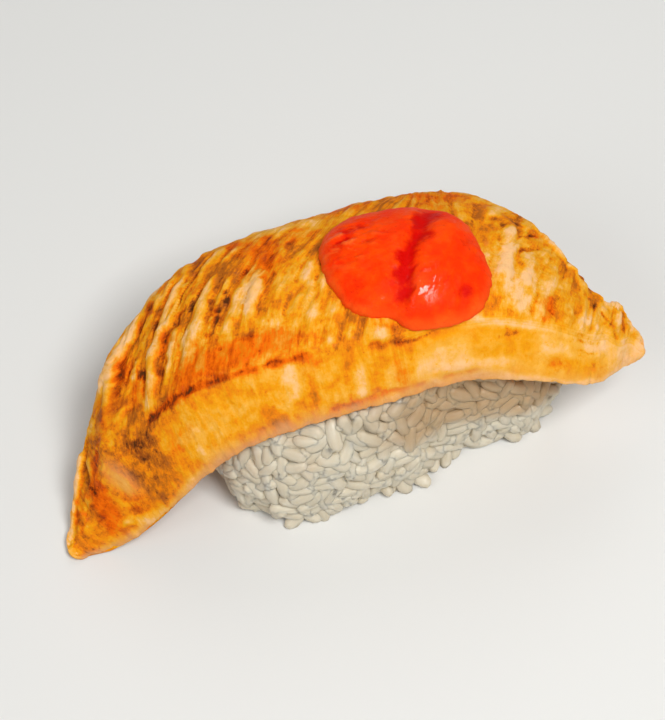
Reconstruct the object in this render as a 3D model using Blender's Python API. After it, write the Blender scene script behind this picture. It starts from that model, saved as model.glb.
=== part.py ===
"""Seared salmon nigiri: a hand-pressed block of rice, a thick slice of salmon draped over it with
its long tail hanging down to the table, and a dollop of red chilli sauce on top.

Run with: blender --background --python part.py
Metres, +Z up. X runs along the slice from the hanging tail to the short end, and Y from the front,
where the rice shows, to the back. It stands on z = 0, with the middle of its footprint at the origin.
"""

import math

import bmesh
import bpy
from mathutils import Matrix, Vector, noise

MM = 0.001
GAP = 0.3 * MM  # kept between pieces that touch
SHARP_ANGLE = math.radians(33)  # edges sharper than this are shaded as edges

# The bed is the surface that the slice lies on: the pressed top of the rice, which carries on past
# both of its ends as the line along which the slice hangs. Places are measured from the rice's middle.
BED_CREST_X = 5 * MM
BED_CREST_Y = 2 * MM
BED_CREST_Z = 21.6 * MM
TAIL_REACH = 49.5 * MM  # from the crest to the tip of the tail
TAIL_DROP = 21.2 * MM
TAIL_CURVE = 2.8
SHORT_END_REACH = 29.2 * MM
SHORT_END_DROP = 9.9 * MM
SHORT_END_CURVE = 2.2
DROOP_AT_FRONT = 2.4 * MM  # how far the slice's long edges hang below the crest
DROOP_AT_BACK = 4.2 * MM
TAIL_DROOP_AT_BACK = 1.0 * MM
DROOP_WIDTH = 15 * MM
TAIL_LEAN = 6.2 * MM  # the tail leans towards the front, where it has no rice under it
TAIL_LEAN_X = -34 * MM
TAIL_LEAN_WIDTH = 9.5 * MM

# The slice's outline, as seen from above
FRONT_EDGE_Y = -11.4 * MM
FRONT_SWELL = 0.8 * MM  # the front edge swells a little over the rice and on the tail
FRONT_SWELL_WIDTH = 12 * MM
BACK_BULGE = 28.2 * MM  # widest distance from the lower front edge to the lower back edge
WIDEST_X = -5 * MM
TAIL_TIP_WIDTH = 1.6 * MM
TAIL_ROUNDING = 2.35  # higher keeps the slice wide for longer before it narrows to its end
SHORT_END_ROUNDING = 5.0
SHORT_END_TAPER = 2.0
SHORT_END_WIDTH = 2.0 * MM
SHORT_END_SWELL = 1.9 * MM  # the front edge runs forward towards the short end, then turns back
SHORT_END_CORNER = 4.2 * MM
TORN_CORNER = 4.8 * MM  # a torn corner sticks out beside the short end
TORN_CORNER_X = 32.0 * MM
TORN_CORNER_WIDTH = 1.7 * MM

# The slice's thickness and sides
SLICE_THICKNESS = 7.2 * MM
TIP_THICKNESS = 1.6 * MM
SHORT_END_THICKNESS = 2.4 * MM
SHORT_END_LIFT = 0.9 * MM
TAIL_CUT = 6.4 * MM  # the front side is cut at a slant, so its upper edge lies this far back
SHORT_END_CUT = 4.6 * MM
CUT_HOLLOW = 0.35 * MM
BACK_UNDERCUT = 2.2 * MM  # the upper back edge overhangs the lower one
BACK_ROUNDING = 0.5 * MM
TAIL_FOLD_X = -36.5 * MM
TAIL_FOLD_HEIGHT = 1.1 * MM
TAIL_FOLD_WIDTH = 2.6 * MM
TAIL_FOLD_SLANT = 0.25
FLAKE_PITCH = 7.5 * MM  # broad muscle flakes that cross the slice on a slant
FLAKE_RELIEF = 0.25 * MM
FLAKE_SLANT = 0.45

# The rice
RICE_X = 1.0 * MM
RICE_Y = -0.5 * MM
RICE_LENGTH = 50.5 * MM
RICE_WIDTH = 27 * MM
RICE_TURN = math.radians(5)
RICE_SQUARENESS = 3.2  # exponent of the block's rounded plan, 2 is an ellipse
RICE_BELLY = 0.10  # the front swells by this share under the slice's middle
RICE_BELLY_X = -15 * MM
RICE_BELLY_WIDTH = 8 * MM
RICE_CRUMBLED = 0.18  # share of the front's depth that has crumbled away from here to the short end
RICE_CRUMBLED_X = 4.2 * MM
RICE_FOOT = 0.95  # footprint as a share of the widest plan
RICE_SHOULDER = 0.87
RICE_SHOULDER_DROP = 0.9 * MM
RICE_LUMP = 0.75 * MM
RICE_LUMP_SIZE = 4.2 * MM
RICE_CLEARANCE = 0.1 * MM  # the rice's crown lies this far under the bed

# The sauce
DOLLOP_X = 5.2 * MM
DOLLOP_Y = 2.9 * MM
DOLLOP_LENGTH = 22.2 * MM
DOLLOP_WIDTH = 18.6 * MM
DOLLOP_TURN = math.radians(118)  # which way its length points, from X
DOLLOP_HEIGHT = 4.0 * MM
RIM_HEIGHT = 0.5 * MM  # the dollop is this thick at its rim
CREASE_ANGLE = math.radians(64)  # the crease between the two lobes, from X
CREASE_OFFSET = 1.4 * MM
CREASE_DEPTH = 1.6 * MM
CREASE_WIDTH = 1.9 * MM
CREASE_NOTCH = 0.13  # how far the crease cuts into the rim, as a share of its distance
CREASE_NOTCH_WIDTH = 0.21  # as an angle
LOBE_DIFFERENCE = 0.08

TAIL_X = BED_CREST_X - TAIL_REACH
SHORT_END_X = BED_CREST_X + SHORT_END_REACH


def clear_scene():
    for old in list(bpy.data.objects):
        bpy.data.objects.remove(old, do_unlink=True)


def mix(a, b, share):
    return a + (b - a) * share


def smooth_step(low, high, value):
    share = min(1.0, max(0.0, (value - low) / (high - low)))
    return share * share * (3 - 2 * share)


def signed_power(value, exponent):
    return math.copysign(abs(value) ** exponent, value)


def bell(distance, width):
    return math.exp(-((distance / width) ** 2))


def past_crest(x):
    """How far x is from the crest, as a share of the way to the tip on its side."""
    return (BED_CREST_X - x) / TAIL_REACH if x < BED_CREST_X else (x - BED_CREST_X) / SHORT_END_REACH


def bed_line(x):
    """Height of the bed along its crest."""
    if x < BED_CREST_X:
        return BED_CREST_Z - TAIL_DROP * past_crest(x) ** TAIL_CURVE
    return BED_CREST_Z - SHORT_END_DROP * past_crest(x) ** SHORT_END_CURVE


def bed_height(x, y):
    """Height of the bed, which droops on both sides of its crest and never passes the table."""
    if y < BED_CREST_Y:
        droop = DROOP_AT_FRONT + TAIL_LEAN * bell(x - TAIL_LEAN_X, TAIL_LEAN_WIDTH)
    else:
        on_tail = smooth_step(0.45, 1.0, past_crest(x)) if x < BED_CREST_X else 0.0
        droop = mix(DROOP_AT_BACK, TAIL_DROOP_AT_BACK, on_tail)
    return max(0.0, bed_line(x) - droop * ((y - BED_CREST_Y) / DROOP_WIDTH) ** 2)


def above_bed(x, y, rise):
    """The point at that rise over the bed, measured square to the bed's line."""
    step = 0.1 * MM
    slope = (bed_line(x + step) - bed_line(x - step)) / (2 * step)
    square = Vector((-slope, 0, 1)).normalized()
    return Vector((x, y, bed_height(x, y))) + square * rise


def slice_width(x):
    """Distance between the slice's lower edges."""
    if x < WIDEST_X:
        along = (WIDEST_X - x) / (WIDEST_X - TAIL_X)
        return BACK_BULGE * max(0.0, 1 - along**TAIL_ROUNDING) + TAIL_TIP_WIDTH * along
    along = (x - WIDEST_X) / (SHORT_END_X - WIDEST_X)
    bulge = BACK_BULGE * max(0.0, 1 - along**SHORT_END_ROUNDING) ** SHORT_END_TAPER
    return math.hypot(bulge, SHORT_END_WIDTH) + TORN_CORNER * bell(x - TORN_CORNER_X, TORN_CORNER_WIDTH)


def slice_edges(x):
    """(front, back) y of the slice's lower outline."""
    swell = bell(x - WIDEST_X, FRONT_SWELL_WIDTH) + bell(x - TAIL_LEAN_X, TAIL_LEAN_WIDTH)
    front = FRONT_EDGE_Y - FRONT_SWELL * swell
    back = front + slice_width(x)
    if x > BED_CREST_X:
        front -= SHORT_END_SWELL * smooth_step(0.1, 0.65, past_crest(x))
        front += SHORT_END_CORNER * smooth_step(0.7, 1.05, past_crest(x))
    return front, back


def slice_thickness(x, y):
    front, back = slice_edges(x)
    along = (x - TAIL_X) / (SHORT_END_X - TAIL_X)
    thick = mix(TIP_THICKNESS, SLICE_THICKNESS, smooth_step(-0.02, 0.36, along))
    thick = mix(thick, SHORT_END_THICKNESS, smooth_step(0.74, 1.02, along))
    fold = TAIL_FOLD_HEIGHT * bell(x - TAIL_FOLD_X - TAIL_FOLD_SLANT * (y - front), TAIL_FOLD_WIDTH)
    flakes = math.sin(2 * math.pi * (x - FLAKE_SLANT * y) / FLAKE_PITCH)
    inside = smooth_step(0.0, 0.3, (y - front) / (back - front)) * smooth_step(0.1, 0.3, along)
    return thick + fold + FLAKE_RELIEF * flakes * inside


def slice_ring(x):
    """One cross-section of the slice: along its underside, up its back, over its top and down the cut."""
    front, back = slice_edges(x)
    width = back - front
    cut = min(mix(TAIL_CUT, SHORT_END_CUT, smooth_step(-14 * MM, 12 * MM, x)), 0.42 * width)
    undercut = min(BACK_UNDERCUT, 0.3 * width)
    lift = GAP
    if x > BED_CREST_X:
        lift += SHORT_END_LIFT * smooth_step(0.72, 1.0, past_crest(x))
    back_thick, front_thick = slice_thickness(x, back), slice_thickness(x, front + cut)
    under_steps, side_steps, top_steps = 12, 4, 18
    ring = []
    for n in range(under_steps):
        ring.append((mix(front, back, n / under_steps), lift))
    for n in range(side_steps):
        share = n / side_steps
        rounding = BACK_ROUNDING * math.sin(math.pi * share)
        ring.append((back + undercut * share + rounding, lift + 0.9 * back_thick * share))
    for n in range(top_steps):
        share = n / top_steps
        y = mix(back + undercut, front + cut, share)
        shoulder = 0.1 * bell(share, 0.05) + 0.03 * bell(1 - share, 0.05)
        ring.append((y, lift + slice_thickness(x, y) * (1 - shoulder)))
    for n in range(side_steps):
        share = n / side_steps
        hollow = CUT_HOLLOW * math.sin(math.pi * share)
        ring.append((front + cut * (1 - share) - hollow, lift + 0.97 * front_thick * (1 - share)))
    return [above_bed(x, y, rise) for y, rise in ring]


def add_object(name, builder, colour, roughness):
    """A named object from a bmesh, smooth-shaded apart from its sharp edges, with its own material."""
    bmesh.ops.recalc_face_normals(builder, faces=builder.faces)
    mesh = bpy.data.meshes.new(name)
    builder.to_mesh(mesh)
    builder.free()
    mesh.shade_smooth()
    mesh.set_sharp_from_angle(angle=SHARP_ANGLE)
    material = bpy.data.materials.new(name)
    material.use_nodes = True
    shader = material.node_tree.nodes["Principled BSDF"]
    shader.inputs["Base Color"].default_value = (*colour, 1)
    shader.inputs["Roughness"].default_value = roughness
    shader.inputs["Metallic"].default_value = 0
    mesh.materials.append(material)
    made = bpy.data.objects.new(name, mesh)
    bpy.context.scene.collection.objects.link(made)
    return made


def skin(builder, rings):
    """Joins closed rings of equal length with quads, and returns their vertices."""
    rows = [[builder.verts.new(point) for point in ring] for ring in rings]
    for low, high in zip(rows, rows[1:]):
        for n in range(len(low)):
            after = (n + 1) % len(low)
            builder.faces.new((low[n], low[after], high[after], high[n]))
    return rows


def close_with_fan(builder, row, middle):
    """Closes a ring of vertices with triangles that meet at a point."""
    centre = builder.verts.new(middle)
    for n in range(len(row)):
        builder.faces.new((row[n], row[(n + 1) % len(row)], centre))


def make_slice():
    stations = 58
    bunching = 0.6  # 0 spaces the cross-sections evenly, 1 crowds them towards the two ends
    rings = []
    for n in range(stations + 1):
        even = n / stations
        crowded = 0.5 - 0.5 * math.cos(math.pi * even)
        rings.append(slice_ring(mix(TAIL_X, SHORT_END_X, mix(even, crowded, bunching))))
    builder = bmesh.new()
    rows = skin(builder, rings)
    builder.faces.new(rows[0])
    builder.faces.new(rows[-1])
    return add_object("salmon_slice", builder, (0.86, 0.36, 0.10), 0.42)


def rice_plan(turn, scale):
    """A point of the rice block's plan outline, at that angle round it."""
    x = 0.5 * RICE_LENGTH * signed_power(math.cos(turn), 2 / RICE_SQUARENESS) * scale
    y = 0.5 * RICE_WIDTH * signed_power(math.sin(turn), 2 / RICE_SQUARENESS) * scale
    if y < 0:
        crumbled = smooth_step(-1.5 * MM, 1.5 * MM, x - RICE_CRUMBLED_X)
        crumbled *= 1 - smooth_step(3 * MM, 16 * MM, x - RICE_CRUMBLED_X)
        y *= 1 + RICE_BELLY * bell(x - RICE_BELLY_X, RICE_BELLY_WIDTH) - RICE_CRUMBLED * crumbled
    return Vector((RICE_X, RICE_Y)) + Matrix.Rotation(RICE_TURN, 2) @ Vector((x, y))


def rice_side_point(turn, height):
    """A point on the block's lumpy side. height is 0 at the table and 1 at the shoulder."""
    bulge = math.sin(math.pi * min(1.0, height * 1.15)) ** 0.6 if height else 0.0
    edge = rice_plan(turn, mix(mix(RICE_FOOT, RICE_SHOULDER, height), 1.0, bulge))
    top = bed_height(edge.x, edge.y) - RICE_SHOULDER_DROP
    point = Vector((edge.x, edge.y, top * height))
    place = point / RICE_LUMP_SIZE
    lump = RICE_LUMP * (noise.noise(place) + 0.5 * noise.noise(2.1 * place))
    point += Vector((edge.x, edge.y, 0)).normalized() * lump
    if height:
        point.z += 0.3 * lump
    return point


def make_rice():
    around, levels, crown = 76, 11, 5
    turns = [2 * math.pi * n / around for n in range(around)]

    def crown_point(edge):
        return Vector((edge.x, edge.y, bed_height(edge.x, edge.y) - RICE_CLEARANCE))

    rings = [[rice_side_point(turn, level / levels) for turn in turns] for level in range(levels + 1)]
    for level in range(1, crown):
        scale = RICE_SHOULDER * math.cos(0.5 * math.pi * level / crown) ** 0.8
        rings.append([crown_point(rice_plan(turn, scale)) for turn in turns])
    builder = bmesh.new()
    rows = skin(builder, rings)
    builder.faces.new(rows[0])
    close_with_fan(builder, rows[-1], crown_point(rice_plan(0.0, 0.0)))
    return add_object("rice", builder, (0.80, 0.78, 0.72), 0.5)


def dollop_rim(turn):
    """Distance from the dollop's middle to its rim in that direction."""
    along = turn - DOLLOP_TURN
    oval = 0.5 / math.hypot(math.cos(along) / DOLLOP_LENGTH, math.sin(along) / DOLLOP_WIDTH)
    wave = 0.014 * math.cos(3 * turn - 3.0) + 0.027 * math.cos(4 * turn - 2.8)
    from_notch = math.remainder(turn - CREASE_ANGLE - math.pi, 2 * math.pi)
    notch = CREASE_NOTCH * bell(from_notch, CREASE_NOTCH_WIDTH)
    return oval * (1 + wave - notch)


def dollop_rise(x, y, reach):
    """Height of the dollop over the slice. reach is 0 at its middle and 1 at its rim."""
    across = x * math.sin(CREASE_ANGLE) - y * math.cos(CREASE_ANGLE) - CREASE_OFFSET
    dome = DOLLOP_HEIGHT * max(0.0, 1 - reach**2.6) ** 0.55
    lobe = 1 + LOBE_DIFFERENCE * math.tanh(across / CREASE_WIDTH)
    return dome * lobe - CREASE_DEPTH * bell(across, CREASE_WIDTH) * (1 - reach**4)


def dollop_point(turn, reach, swollen):
    """A point of the dollop's underside, or of its swollen top."""
    x = math.cos(turn) * dollop_rim(turn) * reach
    y = math.sin(turn) * dollop_rim(turn) * reach
    rise = slice_thickness(DOLLOP_X + x, DOLLOP_Y + y) + 2 * GAP
    if swollen:
        rise += dollop_rise(x, y, reach)
    return above_bed(DOLLOP_X + x, DOLLOP_Y + y, rise)


def make_dollop():
    around, top_rings, under_rings = 44, 14, 3
    tucked_in = 0.97  # the underside stops a little inside the rim
    turns = [2 * math.pi * n / around for n in range(around)]
    reaches = [k / (under_rings + 1) for k in range(1, under_rings + 1)] + [tucked_in]
    rings = [[dollop_point(turn, reach, False) for turn in turns] for reach in reaches]
    rings.append([dollop_point(turn, 1.0, False) + Vector((0, 0, RIM_HEIGHT)) for turn in turns])
    for k in range(top_rings, 0, -1):
        rings.append([dollop_point(turn, k / (top_rings + 1), True) for turn in turns])
    builder = bmesh.new()
    rows = skin(builder, rings)
    close_with_fan(builder, rows[0], dollop_point(0.0, 0.0, False))
    close_with_fan(builder, rows[-1], dollop_point(0.0, 0.0, True))
    return add_object("sauce_dollop", builder, (0.85, 0.07, 0.01), 0.2)


def centre_on_origin(pieces):
    """Parents the pieces to an empty that puts the middle of their footprint at the origin."""
    corners = [piece.matrix_world @ vertex.co for piece in pieces for vertex in piece.data.vertices]
    low_x, high_x = min(c.x for c in corners), max(c.x for c in corners)
    low_y, high_y = min(c.y for c in corners), max(c.y for c in corners)
    base = bpy.data.objects.new("nigiri", None)
    base.location = (-0.5 * (low_x + high_x), -0.5 * (low_y + high_y), 0)
    bpy.context.scene.collection.objects.link(base)
    for piece in pieces:
        piece.parent = base


def main():
    clear_scene()
    centre_on_origin([make_rice(), make_slice(), make_dollop()])


main()
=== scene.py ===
"""Seared salmon nigiri, dressed: the torched slice with its pale strands, scorched specks and hanging
tail, the grains of the pressed rice, and the glossy dollop of chilli sauce.

Lengths are in millimetres until a mesh is made, apart from the settings, which are in metres as
Blender shows them. X runs along the slice from its hanging tail to its short end, Y from the front to
the back, and Z up. The slice's own places are measured from the rice's middle, as in the solid model.
"""

import math

import bmesh
import bpy
import numpy as np
from mathutils import Matrix, Vector


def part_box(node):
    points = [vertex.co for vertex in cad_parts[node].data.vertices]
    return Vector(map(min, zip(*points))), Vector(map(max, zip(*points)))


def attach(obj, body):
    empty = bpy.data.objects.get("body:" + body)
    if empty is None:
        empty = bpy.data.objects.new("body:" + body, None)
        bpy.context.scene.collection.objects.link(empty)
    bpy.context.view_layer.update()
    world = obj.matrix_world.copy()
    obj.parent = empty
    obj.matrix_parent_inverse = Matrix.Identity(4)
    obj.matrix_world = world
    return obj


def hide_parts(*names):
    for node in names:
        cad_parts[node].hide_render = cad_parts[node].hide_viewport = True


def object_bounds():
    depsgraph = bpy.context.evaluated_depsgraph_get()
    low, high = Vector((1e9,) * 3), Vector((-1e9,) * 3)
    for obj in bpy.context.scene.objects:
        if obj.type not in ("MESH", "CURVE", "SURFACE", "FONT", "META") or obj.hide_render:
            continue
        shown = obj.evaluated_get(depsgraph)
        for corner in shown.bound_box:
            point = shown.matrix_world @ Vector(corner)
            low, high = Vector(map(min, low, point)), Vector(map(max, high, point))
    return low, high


bl_info = {
    "name": "Seared Salmon Nigiri",
    "version": (1, 0, 0),
    "blender": (4, 5, 0),
    "location": "3D View > Sidebar > Nigiri",
    "description": "Builds the slice, the rice grains, the sauce and the stage of a piece of nigiri",
    "category": "Add Mesh",
}

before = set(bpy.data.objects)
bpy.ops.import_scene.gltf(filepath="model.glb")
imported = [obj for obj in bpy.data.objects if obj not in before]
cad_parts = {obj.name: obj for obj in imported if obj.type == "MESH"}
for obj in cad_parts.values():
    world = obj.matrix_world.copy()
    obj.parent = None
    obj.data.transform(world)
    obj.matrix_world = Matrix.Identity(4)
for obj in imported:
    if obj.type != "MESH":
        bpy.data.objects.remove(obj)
CAD_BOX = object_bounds()
MM = 0.001

# The bed that the slice lies on, as in the solid model.
GAP = 0.3
BED_CREST_X = 5
BED_CREST_Y = 2
BED_CREST_Z = 21.6
TAIL_REACH = 49.5
TAIL_DROP = 21.2
TAIL_CURVE = 2.8
SHORT_END_REACH = 29.2
SHORT_END_DROP = 9.9
SHORT_END_CURVE = 2.2
DROOP_AT_FRONT = 2.4
DROOP_AT_BACK = 4.2
TAIL_DROOP_AT_BACK = 1.0
DROOP_WIDTH = 15
TAIL_LEAN = 6.2
TAIL_LEAN_X = -34
TAIL_LEAN_WIDTH = 9.5

# The slice's outline and thickness, as in the solid model, but with weaker flakes under its strands.
FRONT_EDGE_Y = -11.4
FRONT_SWELL = 0.8
FRONT_SWELL_WIDTH = 12
BACK_BULGE = 28.2
WIDEST_X = -5
TAIL_TIP_WIDTH = 1.6
TAIL_ROUNDING = 2.35
SHORT_END_ROUNDING = 5.0
SHORT_END_TAPER = 2.0
SHORT_END_WIDTH = 2.0
SHORT_END_SWELL = 1.9
SHORT_END_CORNER = 4.2
TORN_CORNER = 4.8
TORN_CORNER_X = 32.0
TORN_CORNER_WIDTH = 1.7
SLICE_THICKNESS = 7.2
TIP_THICKNESS = 1.6
SHORT_END_THICKNESS = 2.4
SHORT_END_LIFT = 0.9
TAIL_CUT = 6.4
SHORT_END_CUT = 4.6
CUT_HOLLOW = 0.35
BACK_UNDERCUT = 2.2
BACK_ROUNDING = 0.5
TAIL_FOLD_X = -36.5
TAIL_FOLD_HEIGHT = 1.1
TAIL_FOLD_WIDTH = 2.6
TAIL_FOLD_SLANT = 0.25
FLAKE_PITCH = 7.5
FLAKE_RELIEF = 0.1
FLAKE_SLANT = 0.45
TAIL_X = BED_CREST_X - TAIL_REACH
SHORT_END_X = BED_CREST_X + SHORT_END_REACH

# The sauce, as in the solid model.
DOLLOP_X = 5.2
DOLLOP_Y = 2.9
DOLLOP_LENGTH = 22.2
DOLLOP_WIDTH = 18.6
DOLLOP_TURN = math.radians(118)
DOLLOP_HEIGHT = 4.0
CREASE_ANGLE = math.radians(64)
CREASE_OFFSET = 1.4
CREASE_DEPTH = 1.6
CREASE_WIDTH = 1.9
CREASE_NOTCH = 0.13
CREASE_NOTCH_WIDTH = 0.21
LOBE_DIFFERENCE = 0.08

# How finely the slice and the dollop are divided, and how much of its size each of the first rings at
# an end keeps, so that the end closes on a rounded rim.
SLICE_COLUMNS = 400
SLICE_RINGS = {"under": 36, "back": 16, "top": 138, "cut": 46}
DOLLOP_AROUND = 260
DOLLOP_RINGS_UNDER = 12
DOLLOP_RINGS_OVER = 110
END_CLOSING = (0.12, 0.5, 0.75, 0.9)

# How deep the sauce reaches into the slice, and how high it stands there at least.
SAUCE_SUNK = 0.4
SAUCE_LEAST = 0.12

# How far the rice's core and the bed of its grains lie inside the solid.
CORE_DEPTH = 1.2
GRAIN_BED_DEPTH = 1.25
# How much a grain swells towards its two ends before they close, how strongly it bends, per metre, its
# height as a share of its width, and the least and the most that it is scaled by chance.
GRAIN_BLUNTNESS = 1.9
GRAIN_BEND = -55.0
GRAIN_FLATNESS = 0.86
GRAIN_LEAST = (0.82, 0.85, 0.85)
GRAIN_MOST = (1.1, 1.1, 1.1)
# Grains for each square metre, before the spacing thins them out.
GRAIN_DENSITY = 2.0e6
GRAIN_SEED = 7
TINT_SEED = 5

# The stage, in metres apart from the camera's aim and sensor.
CAMERA_AIM = (-0.32, 0.05, 13)
SENSOR_WIDTH = 36
FLOOR_REACH = 1.5
FLOOR_COLOUR = (0.72, 0.72, 0.70, 1)
ROOM_COLOUR = (1.0, 0.98, 0.95, 1)
ROOM_STRENGTH = 0.24
# Each light: name, azimuth and elevation in degrees, distance, size, and power in watts.
LIGHTS = (
    ("key", 26, 60, 0.55, 0.2, 2.35),
    ("fill", -60, 40, 0.7, 0.4, 1.2),
    ("back", 165, 45, 0.6, 0.3, 0.5),
)

# Places on the slice: (x, distance behind its upper front edge, half width, half length, lean,
# strength). A negative distance is on the cut front side; the lean is how far, in degrees, the length
# tips towards the short end as it runs back. Pale strands come first.
STRANDS = (
    (-30.3, 12.3, 0.9, 7.2, 49, 0.95),
    (-40.8, 4.6, 0.6, 3.6, 42, 0.8),
    (-39.3, 7.1, 0.8, 0.9, 0, 1.0),
    (24.9, 12.5, 0.5, 8.0, -22, 0.9),
    (-33.9, -1.8, 0.7, 2.9, -28, 0.45),
    (0.1, 0.3, 1.5, 1.3, 0, 1.0),
    (-31.5, 10.0, 0.78, 4.0, 23, 1.0),
    (-27.4, 14.8, 0.65, 2.4, 34, 0.9),
    (-31.5, 4.4, 0.52, 1.2, 60, 0.5),
    (-26.8, 5.6, 0.72, 3.2, 16, 1.0),
    (-25.6, 8.8, 0.91, 1.6, 30, 0.9),
    (-23.4, 11.4, 0.65, 2.6, 42, 1.0),
    (-20.6, 7.4, 1.23, 2.2, 22, 1.0),
    (-19.0, 10.2, 0.78, 3.0, 20, 1.0),
    (-17.6, 13.2, 0.65, 2.2, 26, 0.8),
    (-15.6, 8.2, 0.78, 2.2, 30, 0.8),
    (-13.6, 8.6, 1.04, 2.6, 16, 1.0),
    (-12.4, 11.6, 1.04, 2.6, 20, 1.0),
    (-25.2, 14.4, 0.65, 1.3, 30, 0.5),
    (-21.3, 18.4, 0.65, 1.5, 30, 0.6),
    (-19.2, 20.0, 0.78, 2.2, 8, 0.7),
    (-14.8, 19.8, 0.65, 2.4, 10, 0.4),
    (-11.2, 14.2, 0.52, 2.4, 16, 0.5),
    (-8.0, 17.4, 0.45, 1.8, 22, 0.6),
    (-7.2, 5.5, 0.91, 4.6, 15, 0.6),
    (-10.4, 20.5, 0.65, 2.0, 10, 0.4),
    (18.9, 14.4, 0.78, 2.4, 20, 0.8),
    (18.4, 11.0, 0.65, 1.8, 40, 0.7),
    (16.9, 8.0, 0.78, 2.4, 18, 0.8),
    (19.6, 8.6, 0.78, 2.0, 40, 0.4),
    (22.4, 9.4, 0.65, 2.6, 35, 0.4),
    (24.8, 8.0, 0.59, 2.4, 30, 0.4),
    (26.6, 6.8, 0.65, 1.6, 30, 0.7),
    (26.6, 2.4, 0.65, 1.8, 40, 0.5),
    (30.4, 2.4, 0.65, 1.6, 30, 0.5),
    (-35.2, -5.0, 0.5, 1.4, -60, 0.6),
    (-40.6, 1.6, 0.6, 2.4, -10, 0.7),
)
# Small, dark burns.
BURNS = (
    (-27.9, 7.2, 0.55, 1.3, -12, 1.0),
    (-30.7, -1.2, 0.5, 1.1, -10, 0.9),
    (-29.4, -1.2, 1.4, 1.4, -14, 0.4),
    (-30.8, -0.2, 1.1, 0.8, 10, 0.4),
    (-31.2, 0.8, 0.35, 0.9, -50, 0.6),
    (-28.3, 1.2, 0.45, 0.8, 20, 0.5),
    (-25.5, 1.3, 0.3, 1.1, -55, 0.35),
    (-21.8, 0.8, 0.22, 1.5, 86, 0.3),
    (-16.9, -0.3, 0.25, 0.6, 80, 0.5),
    (-15.8, 0.5, 0.3, 0.5, 10, 0.6),
    (-13.6, 0.0, 0.2, 1.3, 88, 0.5),
    (-21.9, 10.8, 0.4, 0.8, 30, 0.9),
    (18.3, 15.5, 0.35, 0.9, 30, 0.8),
    (21.9, 14.5, 0.3, 0.8, 50, 0.8),
    (-21.0, 12.2, 0.35, 0.7, 60, 0.8),
    (-19.8, 12.2, 0.35, 1.2, 25, 0.9),
    (-17.7, 8.0, 0.45, 0.8, 30, 1.0),
    (-17.0, 9.8, 0.4, 0.6, 20, 1.0),
    (-17.5, 11.4, 0.35, 0.6, -20, 0.8),
    (-15.9, 10.7, 0.4, 0.5, 0, 1.0),
    (-15.9, 12.3, 0.35, 0.6, -20, 0.8),
    (-24.4, 12.3, 0.5, 0.9, 10, 0.7),
    (-19.6, 17.5, 0.5, 0.6, 30, 0.8),
    (-24.6, 16.7, 0.5, 0.6, 60, 0.6),
    (-12.7, 15.1, 0.4, 0.6, 40, 0.8),
    (-24.3, 6.7, 0.4, 0.6, 0, 0.7),
    (-22.7, 8.4, 0.35, 1.0, -15, 0.6),
    (-18.5, 6.6, 0.35, 1.0, 40, 0.6),
    (-17.9, 4.0, 0.3, 0.4, -30, 0.7),
    (-21.2, 20.2, 0.5, 0.7, 20, 0.6),
    (-8.0, 19.6, 0.5, 1.0, 40, 0.6),
    (-11.9, 6.9, 0.35, 0.4, 0, 0.5),
    (-9.4, 16.9, 0.35, 1.0, 10, 0.5),
    (-31.0, 7.1, 0.4, 0.8, 10, 0.5),
    (-31.0, 13.0, 0.3, 0.7, 20, 0.5),
    (-1.0, -0.9, 0.25, 0.8, 80, 0.6),
    (4.6, -1.0, 0.22, 2.6, 88, 0.7),
    (17.3, 12.8, 0.3, 2.6, 19, 0.8),
    (20.7, 11.6, 0.3, 2.5, 63, 0.9),
    (21.4, 14.0, 0.35, 1.0, 56, 0.8),
    (20.6, 16.3, 0.4, 0.9, -10, 0.7),
    (17.8, 16.9, 0.35, 0.7, 50, 0.8),
    (19.4, 18.2, 0.35, 0.5, 40, 0.6),
    (16.6, 10.0, 0.3, 0.9, 20, 0.6),
    (24.1, -1.1, 0.25, 0.6, 88, 0.8),
    (25.6, -2.2, 0.2, 0.9, 80, 0.7),
    (15.2, -1.8, 0.45, 0.8, 60, 0.5),
    (28.5, 2.6, 0.3, 0.9, -30, 0.6),
    (27.4, 3.6, 0.3, 0.7, 50, 0.5),
    (31.0, 0.8, 0.25, 0.8, 20, 0.5),
    (24.1, -0.4, 0.25, 1.0, 80, 0.7),
    (25.9, -1.2, 0.25, 1.3, 86, 0.6),
    (24.5, -2.3, 0.2, 0.9, 86, 0.6),
    (21.7, -4.6, 0.5, 1.2, 80, 0.4),
    (19.1, -5.2, 0.5, 1.0, 80, 0.4),
    (26.2, -3.6, 0.5, 0.6, 0, 0.5),
    (29.4, 0.4, 0.3, 0.9, -20, 0.5),
    (20.2, 2.4, 0.6, 1.0, 20, 0.6),
    (27.4, 4.1, 0.3, 0.8, 20, 0.6),
    (14.2, -2.2, 0.35, 0.9, 80, 0.5),
    (15.9, -1.6, 0.3, 0.8, 70, 0.5),
)
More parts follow.
